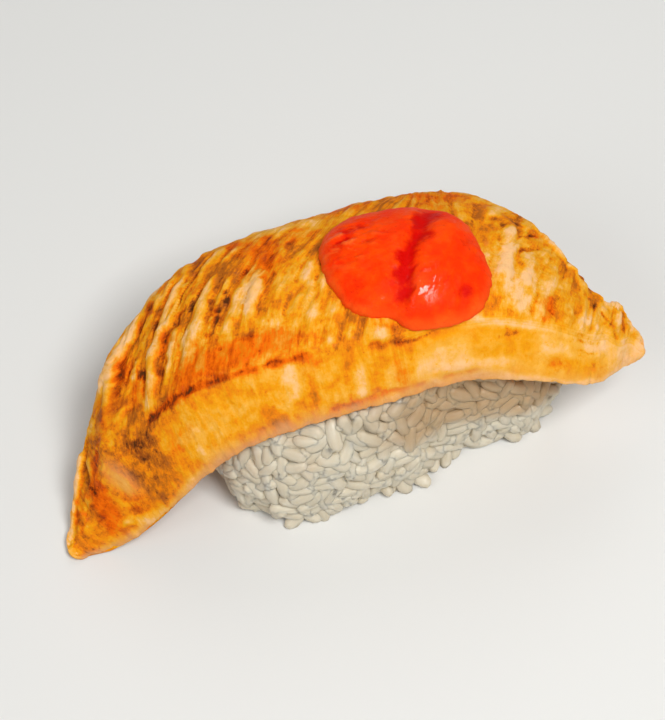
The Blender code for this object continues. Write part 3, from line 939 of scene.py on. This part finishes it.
class Nodes:
    """Adds nodes to one tree."""

    def __init__(self, tree):
        self.tree = tree

    def node(self, kind, inputs=None, output=0, stops=None, **settings):
        """Adds a node: its settings first, then a value or a link for each input."""
        made = self.tree.nodes.new(kind)
        for name, value in settings.items():
            setattr(made, name, value)
        for number, (position, colour) in enumerate(stops or ()):
            elements = made.color_ramp.elements
            element = elements[number] if number < 2 else elements.new(position)
            element.position, element.color = position, (*colour, 1)
        for key, value in (inputs or {}).items():
            self.feed(made.inputs[key], value)
        return Value(self, made.outputs[output])

    def feed(self, socket, value):
        if isinstance(value, Value):
            self.tree.links.new(value.socket, socket)
        else:
            socket.default_value = value


class Recipe(Nodes):
    """Builds the nodes of one material."""

    def __init__(self, name):
        self.material = bpy.data.materials.new(name)
        self.material.use_nodes = True
        super().__init__(self.material.node_tree)
        self.shader = self.tree.nodes["Principled BSDF"]

    def finish(self, **inputs):
        """Sets the shader's sockets, named with _ for each space, and returns the material."""
        for name, value in inputs.items():
            self.feed(self.shader.inputs[name.replace("_", " ")], value)
        return self.material

    def mark(self, name):
        return self.node("ShaderNodeAttribute", output="Fac", attribute_name=name)

    def place(self):
        return self.node("ShaderNodeTexCoord", output="Object")

    def place_map(self, name, stretch):
        """The piece's own map, stretched by two factors."""
        read = self.node("ShaderNodeUVMap", uv_map=name)
        return self.node("ShaderNodeMapping", {"Vector": read, "Scale": (*stretch, 1)})

    def noise(self, vector, scale, detail=3.0, roughness=0.55):
        inputs = {"Vector": vector, "Scale": scale, "Detail": detail, "Roughness": roughness}
        return self.node("ShaderNodeTexNoise", inputs)

    def step(self, low, high, value):
        """0 below low and 1 above high, with a smooth rise between."""
        inputs = {"Value": value, "From Min": low, "From Max": high}
        return self.node("ShaderNodeMapRange", inputs, interpolation_type="SMOOTHSTEP")

    def blend(self, factor, a, b):
        """Colour a where factor is 0 and colour b where it is 1."""
        a, b = (c if isinstance(c, Value) else (*c, 1) for c in (a, b))
        inputs = {"Factor": factor, 6: a, 7: b}
        return self.node("ShaderNodeMix", inputs, output=2, data_type="RGBA")

    def clamp(self, value, low, high):
        return self.node("ShaderNodeClamp", {"Value": value, "Min": low, "Max": high})

    def ramp(self, value, stops):
        """The colour that lies that far along the stops."""
        return self.node("ShaderNodeValToRGB", {"Fac": value}, stops=stops)

    def bump(self, height, distance, strength=1.0):
        inputs = {"Height": height, "Distance": distance, "Strength": strength}
        return self.node("ShaderNodeBump", inputs)


class NodeTree(Nodes):
    """Builds a Geometry Nodes tree with named inputs."""

    def __init__(self, name, inputs):
        super().__init__(bpy.data.node_groups.new(name, "GeometryNodeTree"))
        face = self.tree.interface
        face.new_socket(name="Geometry", in_out="INPUT", socket_type="NodeSocketGeometry")
        self.identifiers = {}
        for label, kind in inputs.items():
            socket = face.new_socket(name=label, in_out="INPUT", socket_type="NodeSocket" + kind)
            self.identifiers[label] = socket.identifier
        face.new_socket(name="Geometry", in_out="OUTPUT", socket_type="NodeSocketGeometry")
        self.given = self.node("NodeGroupInput")

    def applied(self, piece, values):
        """Runs the tree on an object and returns the result as a plain mesh."""
        modifier = piece.modifiers.new(self.tree.name, "NODES")
        modifier.node_group = self.tree
        for label, value in values.items():
            modifier[self.identifiers[label]] = value
        piece.update_tag()
        bpy.context.view_layer.update()
        graph = bpy.context.evaluated_depsgraph_get()
        evaluated = piece.evaluated_get(graph)
        mesh = bpy.data.meshes.new_from_object(evaluated, preserve_all_data_layers=True, depsgraph=graph)
        piece.modifiers.remove(modifier)
        return mesh


# The rice


def rice_core_mesh(depth):
    """The rice's solid, drawn in by that depth so that grains can stand on it."""
    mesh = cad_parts["rice"].data.copy()
    work = bmesh.new()
    work.from_mesh(mesh)
    mesh.clear_geometry()
    bmesh.ops.remove_doubles(work, verts=work.verts, dist=0.02 * MM)
    work.normal_update()
    for vertex in work.verts:
        vertex.co -= vertex.normal * depth * MM
    hold_above_floor(work.verts)
    work.to_mesh(mesh)
    work.free()
    return mesh


def grain_tree():
    """Grains of rice laid over a surface, each turned and tilted by chance."""
    inputs = {"Grain Length": "Float", "Grain Width": "Float", "Spacing": "Float", "Tilt": "Float"}
    tree = NodeTree("rice_grains", inputs | {"Seed": "Int", "Material": "Material"})
    given = (tree.given.other(label) for label in tree.identifiers)
    length, width, spacing, tilt, seed, material = given

    # One grain: a ball with fuller ends, laid on its side, stretched and bent.
    ball = tree.node("GeometryNodeMeshUVSphere", {"Segments": 8, "Rings": 7, "Radius": 0.5})
    place = tree.node("GeometryNodeInputPosition")
    x = tree.node("ShaderNodeSeparateXYZ", {0: place})
    z = x.other("Z")
    sideways = tree.node("ShaderNodeVectorMath", {0: place, 1: (1, 1, 0)}, operation="MULTIPLY")
    swell = {0: sideways, "Scale": z * z * GRAIN_BLUNTNESS}
    outward = tree.node("ShaderNodeVectorMath", swell, operation="SCALE")
    blunt = tree.node("GeometryNodeSetPosition", {"Geometry": ball, "Offset": outward})
    laid = tree.node("GeometryNodeTransform", {"Geometry": blunt, "Rotation": (0, math.pi / 2, 0)})
    size = tree.node("ShaderNodeCombineXYZ", {"X": length, "Y": width, "Z": width * GRAIN_FLATNESS})
    shaped = tree.node("GeometryNodeTransform", {"Geometry": laid, "Scale": size})
    bend = tree.node("ShaderNodeCombineXYZ", {"Y": x * x * GRAIN_BEND})
    grain = tree.node("GeometryNodeSetPosition", {"Geometry": shaped, "Offset": bend})

    # Its places on the surface, and how each one lies there.
    points = tree.node(
        "GeometryNodeDistributePointsOnFaces",
        {"Mesh": tree.given, "Distance Min": spacing, "Density Max": GRAIN_DENSITY, "Seed": seed},
        distribute_method="POISSON",
    )
    least = tree.node("ShaderNodeCombineXYZ", {0: 0 - tilt, 1: 0 - tilt, 2: 0.0})
    most = tree.node("ShaderNodeCombineXYZ", {0: tilt, 1: tilt, 2: 2 * math.pi})
    chance = {0: least, 1: most, "Seed": seed}
    chance = tree.node("FunctionNodeRandomValue", chance, data_type="FLOAT_VECTOR")
    spin = tree.node("FunctionNodeEulerToRotation", {0: chance})
    facing = {"Rotation": points.other("Rotation"), "Rotate By": spin}
    facing = tree.node("FunctionNodeRotateRotation", facing, rotation_space="LOCAL")
    scale = {0: GRAIN_LEAST, 1: GRAIN_MOST}
    scale = tree.node("FunctionNodeRandomValue", scale, data_type="FLOAT_VECTOR")
    grains = tree.node(
        "GeometryNodeInstanceOnPoints",
        {"Points": points, "Instance": grain, "Rotation": facing, "Scale": scale},
    )
    tint = tree.node("FunctionNodeRandomValue", {"Seed": TINT_SEED}, output=1, data_type="FLOAT")
    marked = tree.node(
        "GeometryNodeStoreNamedAttribute",
        {"Geometry": grains, "Name": "tint", "Value": tint},
        data_type="FLOAT",
        domain="INSTANCE",
    )
    real = tree.node("GeometryNodeRealizeInstances", {0: marked})
    smooth = tree.node("GeometryNodeSetShadeSmooth", {0: real})
    finished = tree.node("GeometryNodeSetMaterial", {"Geometry": smooth, "Material": material})
    tree.feed(tree.tree.nodes.new("NodeGroupOutput").inputs[0], finished)
    return tree


def rice_material(settings):
    recipe = Recipe("boiled_rice")
    place = recipe.place()
    tint = recipe.mark("tint")
    slice_shade_and_stain = recipe.mark("slice_shade_and_stain")
    cloud = recipe.noise(place, 700.0, 3.0)
    patch = recipe.noise(place, 160.0, 2.0)
    colour = recipe.blend(tint * 0.6, settings.rice, settings.rice_shade)
    colour = recipe.blend(recipe.step(0.5, 0.8, cloud) * 0.4, colour, settings.rice_pale)
    # Darker and browner close under the slice: painted shade from the slice, partly a stain.
    shaded_and_stained = recipe.step(0.15, 0.95, slice_shade_and_stain + patch * 0.8 - 0.4) * 0.8
    colour = recipe.blend(shaded_and_stained, colour, settings.rice_shade_and_stain)
    return recipe.finish(
        Base_Color=colour,
        Roughness=0.36 + cloud * 0.2,
        Specular_IOR_Level=0.3,
        Coat_Weight=recipe.step(0.4, 0.7, cloud) * 0.3,
        Coat_Roughness=0.18,
        Subsurface_Weight=0.6,
        Subsurface_Radius=(1.0, 0.9, 0.8),
        Subsurface_Scale=0.6 * MM,
        Normal=recipe.bump(recipe.noise(place, 1500.0, 3.0), 0.06 * MM),
    )


# The sauce


def dollop_rim(turn):
    along = turn - DOLLOP_TURN
    oval = 0.5 / np.hypot(np.cos(along) / DOLLOP_LENGTH, np.sin(along) / DOLLOP_WIDTH)
    wave = 0.014 * np.cos(3 * turn - 3.0) + 0.027 * np.cos(4 * turn - 2.8)
    from_notch = (turn - CREASE_ANGLE) % (2 * math.pi) - math.pi
    return oval * (1 + wave - CREASE_NOTCH * bell(from_notch, CREASE_NOTCH_WIDTH))


def dollop_surface():
    """The dollop's points, in rings from under its middle past its rim to its top, and its marks."""
    turn = np.arange(DOLLOP_AROUND)[None, :] * 2 * math.pi / DOLLOP_AROUND
    under = np.linspace(0.02, 0.97, DOLLOP_RINGS_UNDER)[:, None]
    over = np.linspace(1.0, 0.01, DOLLOP_RINGS_OVER)[:, None]
    reach = np.concatenate([under, over])
    on_top = np.arange(len(reach))[:, None] >= DOLLOP_RINGS_UNDER
    ring_x, ring_y = 10 * np.cos(turn), 10 * np.sin(turn)
    wobble = 0.03 * rough(ring_x, ring_y, 2.2, 54) + 0.022 * rough(ring_x, ring_y, 0.9, 59)
    wobble = wobble * reach**3
    x, y = (way * dollop_rim(turn) * reach * (1 + wobble) for way in (np.cos(turn), np.sin(turn)))
    across = x * math.sin(CREASE_ANGLE) - y * math.cos(CREASE_ANGLE) - CREASE_OFFSET
    along = x * math.cos(CREASE_ANGLE) + y * math.sin(CREASE_ANGLE)
    across = across + 0.7 * rough(along, across, 4, 51)
    inner = 1 - reach**6

    # The domed lobes with the crease between them, and the knots of darker sauce.
    dome = (DOLLOP_HEIGHT - 0.2) * np.maximum(0.0, 1 - reach**2.6) ** 0.55
    lobe = 1 + LOBE_DIFFERENCE * np.tanh(across / CREASE_WIDTH)
    crease = bell(across, 0.5 * CREASE_WIDTH) * (1 - reach**4)
    crease = crease * (0.5 + 0.5 * blotches(along, 0 * along, 2.2, 55))
    clear = 1.0
    ragged = 1 + 0.7 * rough(x, y, 1.2, 56)
    for knot_along, knot_across, size, strength in KNOTS:
        from_knot = np.hypot(0.8 * (along - knot_along), across - knot_across) / (size * ragged)
        clear = clear * (1 - strength * bell(from_knot, 1.0))
    knots = (1 - clear) * inner

    # Wrinkles on one lobe, streaks along the other, and the wet bead that shines beside the crease.
    wrinkled = bell(across + 8.5, 3.2) * bell(along - 1.5, 4.5)
    streaked = smooth_step(2.5, 4.5, across)
    streaks = streaked * inner * (blotches(across * 1.9, along * 0.35, 1, 52) - 0.5)
    folds = rough(along * 1.8, across * 0.9, 1.3, 57)
    wrinkles = wrinkled * inner * folds
    ripples = inner * rough(x, y, 3.2, 53)
    lumps = inner * rough(x, y, 1.1, 58)
    wet = bell(across - 1.9, 1.5) * bell(along + 5.0, 2.0) * inner
    bead = bell(across - 1.6, 0.8) * bell(along + 5.5, 1.0)

    rise = dome * lobe - 0.40 * CREASE_DEPTH * crease - 0.30 * knots + 0.35 * bead
    rise = rise + 0.35 * streaks + 0.6 * wrinkles + 0.25 * ripples + 0.12 * lumps
    at_x, at_y = DOLLOP_X + x, DOLLOP_Y + y
    base = slice_thickness(at_x, at_y) + GAP
    rise = np.where(on_top, base + np.maximum(rise, SAUCE_LEAST), base - SAUCE_SUNK)
    # Painted shade: the crease's dark red stands partly for shade in the crease, and the shaded folds
    # are painted shade in the wrinkles' hollows.
    shaded_folds = 0.7 * wrinkled * smooth_step(0.1, 0.6, -folds)
    marks = {
        "crease": np.maximum(np.maximum(knots, 0.8 * crease), shaded_folds),
        "edge": np.broadcast_to(reach, x.shape),
        # Painted glints on the crests of the wrinkles.
        "pale": wrinkled * smooth_step(0.1, 0.6, folds),
        "wet": wet,
    }
    return above_bed(at_x, at_y, rise), marks


def sauce_material(settings):
    recipe = Recipe("chilli_sauce")
    place = recipe.place()
    crease, edge, pale, wet = (recipe.mark(name) for name in ("crease", "edge", "pale", "wet"))
    cloud = recipe.noise(place, 330.0, 3.0)
    pulp = recipe.noise(place, 1500.0, 4.0, 0.65)
    colour = recipe.blend(recipe.step(0.35, 0.7, cloud), settings.sauce, settings.sauce_light)
    # Darker red in the crease and in the folds' hollows: partly deeper sauce, partly painted shade.
    deep = recipe.step(0.12, 0.80, crease + pulp * 0.5 - 0.2)
    colour = recipe.blend(deep, colour, settings.sauce_deep)
    colour = recipe.blend(recipe.step(0.60, 0.72, pulp) * 0.5, colour, settings.sauce_deep)
    thin = recipe.step(0.88, 1.0, edge + cloud * 0.08 - 0.04) * 0.35
    colour = recipe.blend(thin, colour, settings.sauce_thin)
    # Painted glints on the wrinkles' crests, in the thin sauce's lighter colour.
    colour = recipe.blend(pale * 0.7, colour, settings.sauce_thin)
    return recipe.finish(
        Base_Color=colour,
        Roughness=0.42 + pulp * 0.2,
        Specular_IOR_Level=0.05,
        Coat_Weight=recipe.step(0.45, 0.70, cloud) * 0.07 + pale * 0.2 + wet * 0.8,
        Coat_Roughness=0.08,
        Subsurface_Weight=0.12,
        Subsurface_Radius=(1.0, 0.12, 0.03),
        Subsurface_Scale=1.6 * MM,
        Normal=recipe.bump(pulp, 0.14 * MM),
    )


# The stage


def direction(azimuth, elevation):
    """The direction from the middle to a place that far round from the front and that high."""
    flat = math.cos(elevation)
    return Vector((math.sin(azimuth) * flat, -math.cos(azimuth) * flat, math.sin(elevation)))


def make_camera(scene):
    settings = scene.nigiri
    data = bpy.data.cameras.new("camera")
    data.lens = settings.view_lens
    data.sensor_width = SENSOR_WIDTH
    data.sensor_fit = "HORIZONTAL"
    data.clip_start = 0.01
    towards = direction(settings.view_azimuth, settings.view_elevation)
    facing = towards.to_track_quat("Z", "Y").to_matrix()
    camera = bpy.data.objects.new("camera", data)
    camera.location = Vector(CAMERA_AIM) * MM + towards * settings.view_distance
    camera.rotation_euler = (facing @ Matrix.Rotation(-settings.view_roll, 3, "Z")).to_euler()
    scene.collection.objects.link(camera)
    scene.camera = camera


def make_floor():
    mesh = bpy.data.meshes.new("floor")
    corners = [(FLOOR_REACH * x, FLOOR_REACH * y, 0) for x, y in ((-1, -1), (1, -1), (1, 1), (-1, 1))]
    mesh.from_pydata(corners, [], [(0, 1, 2, 3)])
    recipe = Recipe("pale_floor")
    mesh.materials.append(recipe.finish(Base_Color=FLOOR_COLOUR, Roughness=0.6))
    floor = bpy.data.objects.new("floor", mesh)
    bpy.context.scene.collection.objects.link(floor)


def make_lights():
    world = bpy.data.worlds.new("soft_room")
    world.use_nodes = True
    background = world.node_tree.nodes["Background"]
    background.inputs["Color"].default_value = ROOM_COLOUR
    background.inputs["Strength"].default_value = ROOM_STRENGTH
    bpy.context.scene.world = world
    for name, azimuth, elevation, distance, size, power in LIGHTS:
        data = bpy.data.lights.new(name, "AREA")
        data.size = size
        data.energy = power
        light = bpy.data.objects.new(name, data)
        towards = direction(math.radians(azimuth), math.radians(elevation))
        light.location = towards * distance
        light.rotation_euler = towards.to_track_quat("Z", "Y").to_euler()
        bpy.context.scene.collection.objects.link(light)


# Settings, operators and panel


def colour_setting(name, about, default):
    return bpy.props.FloatVectorProperty(
        name=name, description=about, default=default, size=3, min=0, max=1, subtype="COLOR"
    )


def length_setting(name, about, default):
    return bpy.props.FloatProperty(name=name, description=about, default=default, min=0, unit="LENGTH")


def angle_setting(name, about, default):
    return bpy.props.FloatProperty(name=name, description=about, default=default, unit="ROTATION")


class NigiriSettings(bpy.types.PropertyGroup):
    strand_spacing: length_setting("Strand Spacing", "Distance between the pale strands", 2.5 * MM)
    strand_height: length_setting("Strand Height", "How far the strands stand out", 0.42 * MM)
    flesh: colour_setting("Flesh", "Seared orange flesh", (0.75, 0.205, 0.005))
    golden: colour_setting("Golden", "Golden flesh", (0.80, 0.325, 0.006))
    straw: colour_setting("Straw", "Pale golden flesh", (0.83, 0.405, 0.050))
    blush: colour_setting("Blush", "Deep orange, least seared flesh", (0.82, 0.145, 0.002))
    cream: colour_setting("Cream", "Pale strands and rims", (0.88, 0.51, 0.225))
    rust: colour_setting("Rust", "The darkest, reddish burns", (0.25, 0.034, 0.003))
    ember: colour_setting("Ember", "Deep orange flesh darkened by the flame", (0.56, 0.075, 0.001))
    # Also the colour of the painted sheen in the tail's crease.
    lip: colour_setting("Lip", "The duller lower edge of the cut side", (0.62, 0.285, 0.11))
    browned: colour_setting("Browned", "Flesh darkened by the flame", (0.51, 0.14, 0.008))
    toasted: colour_setting("Toasted", "Toasted grooves and specks", (0.30, 0.072, 0.008))
    charred: colour_setting("Charred", "Scorched specks", (0.095, 0.027, 0.006))
    rice: colour_setting("Rice", "Boiled rice", (0.655, 0.59, 0.46))
    rice_shade: colour_setting("Rice Shade", "The darkest grains", (0.53, 0.46, 0.335))
    rice_pale: colour_setting("Rice Pale", "The palest parts of the grains", (0.73, 0.69, 0.60))
    # The colour of the painted shade under the slice, partly a stain.
    rice_shade_and_stain: colour_setting("Rice Shade and Stain", "Rice stained by the slice on it", (0.405, 0.25, 0.11))
    sauce: colour_setting("Sauce", "Chilli sauce", (0.95, 0.032, 0.0))
    sauce_light: colour_setting("Sauce Light", "Sauce where it is thin or bright", (0.96, 0.066, 0.0))
    # Also the colour of the painted glints on the wrinkles.
    sauce_thin: colour_setting("Sauce Thin", "Sauce that runs thin over flesh", (0.92, 0.16, 0.02))
    # Also the painted shade in the crease and in the wrinkles' hollows.
    sauce_deep: colour_setting("Sauce Deep", "Sauce in the crease", (0.62, 0.002, 0.0))
    grain_length: length_setting("Grain Length", "Length of a grain of rice", 4.5 * MM)
    grain_width: length_setting("Grain Width", "Width of a grain of rice", 2.05 * MM)
    grain_spacing: length_setting("Grain Spacing", "Least distance between grains' middles", 1.42 * MM)
    grain_tilt: angle_setting("Grain Tilt", "How far grains tip out of the surface", 0.22)
    view_azimuth: angle_setting("Azimuth", "How far round the camera stands", math.radians(-11.1))
    view_elevation: angle_setting("Elevation", "Height of the camera as an angle", math.radians(56.2))
    view_roll: angle_setting("Roll", "How far the camera is tipped to its right", math.radians(4.3))
    view_distance: length_setting("Distance", "From the camera to the piece", 285 * MM)
    view_lens: bpy.props.FloatProperty(
        name="Lens", description="Focal length", default=114.8, min=1, unit="CAMERA"
    )


class NIGIRI_OT_slice(bpy.types.Operator):
    """Builds the seared slice of salmon"""

    bl_idname = "nigiri.slice"
    bl_label = "Build Slice"

    def execute(self, context):
        settings = context.scene.nigiri
        points, x, behind, marks = slice_surface(settings)
        mesh = closed_grid_mesh("seared_slice", points)
        for name, values in marks.items():
            add_mark(mesh, name, with_ends(np.broadcast_to(values, x.shape)))
        add_place_map(mesh, "flesh", strand_place(x, behind) / 10, behind / 10)
        add_place_map(mesh, "lengthwise", behind / 10 + 0.006 * x, x / 10)
        add_piece("seared_slice", mesh, salmon_material(settings), "salmon_slice")
        return {"FINISHED"}


class NIGIRI_OT_rice(bpy.types.Operator):
    """Builds the pressed rice: grains over a smaller core"""

    bl_idname = "nigiri.rice"
    bl_label = "Build Rice"

    def execute(self, context):
        settings = context.scene.nigiri
        material = rice_material(settings)
        core = rice_core_mesh(CORE_DEPTH)
        mark_slice_shade_and_stain(core)
        add_piece("rice_core", core, material, "rice")
        bed = bpy.data.objects.new("rice_bed", rice_core_mesh(GRAIN_BED_DEPTH))
        context.scene.collection.objects.link(bed)
        values = {
            "Grain Length": settings.grain_length,
            "Grain Width": settings.grain_width,
            "Spacing": settings.grain_spacing,
            "Tilt": settings.grain_tilt,
            "Seed": GRAIN_SEED,
            "Material": material,
        }
        mesh = grain_tree().applied(bed, values)
        bpy.data.objects.remove(bed)
        hold_above_floor(mesh.vertices)
        mesh.name = "rice_grains"
        mark_slice_shade_and_stain(mesh)
        add_piece("rice_grains", mesh, material, "rice")
        return {"FINISHED"}


class NIGIRI_OT_sauce(bpy.types.Operator):
    """Builds the dollop of chilli sauce"""

    bl_idname = "nigiri.sauce"
    bl_label = "Build Sauce"

    def execute(self, context):
        settings = context.scene.nigiri
        points, marks = dollop_surface()
        offset = cad_offset("salmon_slice", slice_grid()[0])
        mesh = closed_grid_mesh("sauce", clipped(points + offset, CAD_BOX))
        for name, values in marks.items():
            add_mark(mesh, name, with_ends(values))
        add_piece("sauce", mesh, sauce_material(settings), "sauce_dollop")
        return {"FINISHED"}


class NIGIRI_OT_stage(bpy.types.Operator):
    """Builds the floor, the lights and the camera"""

    bl_idname = "nigiri.stage"
    bl_label = "Build Stage"

    def execute(self, context):
        make_floor()
        make_lights()
        make_camera(context.scene)
        context.scene.view_settings.view_transform = "Standard"
        return {"FINISHED"}


class NIGIRI_PT_panel(bpy.types.Panel):
    bl_label = "Nigiri"
    bl_idname = "NIGIRI_PT_panel"
    bl_space_type = "VIEW_3D"
    bl_region_type = "UI"
    bl_category = "Nigiri"

    def draw(self, context):
        settings = context.scene.nigiri
        for name in NigiriSettings.__annotations__:
            self.layout.prop(settings, name)
        for operator in OPERATORS:
            self.layout.operator(operator.bl_idname)


OPERATORS = (NIGIRI_OT_stage, NIGIRI_OT_rice, NIGIRI_OT_slice, NIGIRI_OT_sauce)
CLASSES = (NigiriSettings, *OPERATORS, NIGIRI_PT_panel)


def register():
    for item in CLASSES:
        bpy.utils.register_class(item)
    bpy.types.Scene.nigiri = bpy.props.PointerProperty(type=NigiriSettings)


def unregister():
    del bpy.types.Scene.nigiri
    for item in reversed(CLASSES):
        bpy.utils.unregister_class(item)


def main():
    register()
    bpy.ops.nigiri.stage()
    bpy.ops.nigiri.rice()
    bpy.ops.nigiri.slice()
    bpy.ops.nigiri.sauce()


if __name__ == "__main__":
    main()
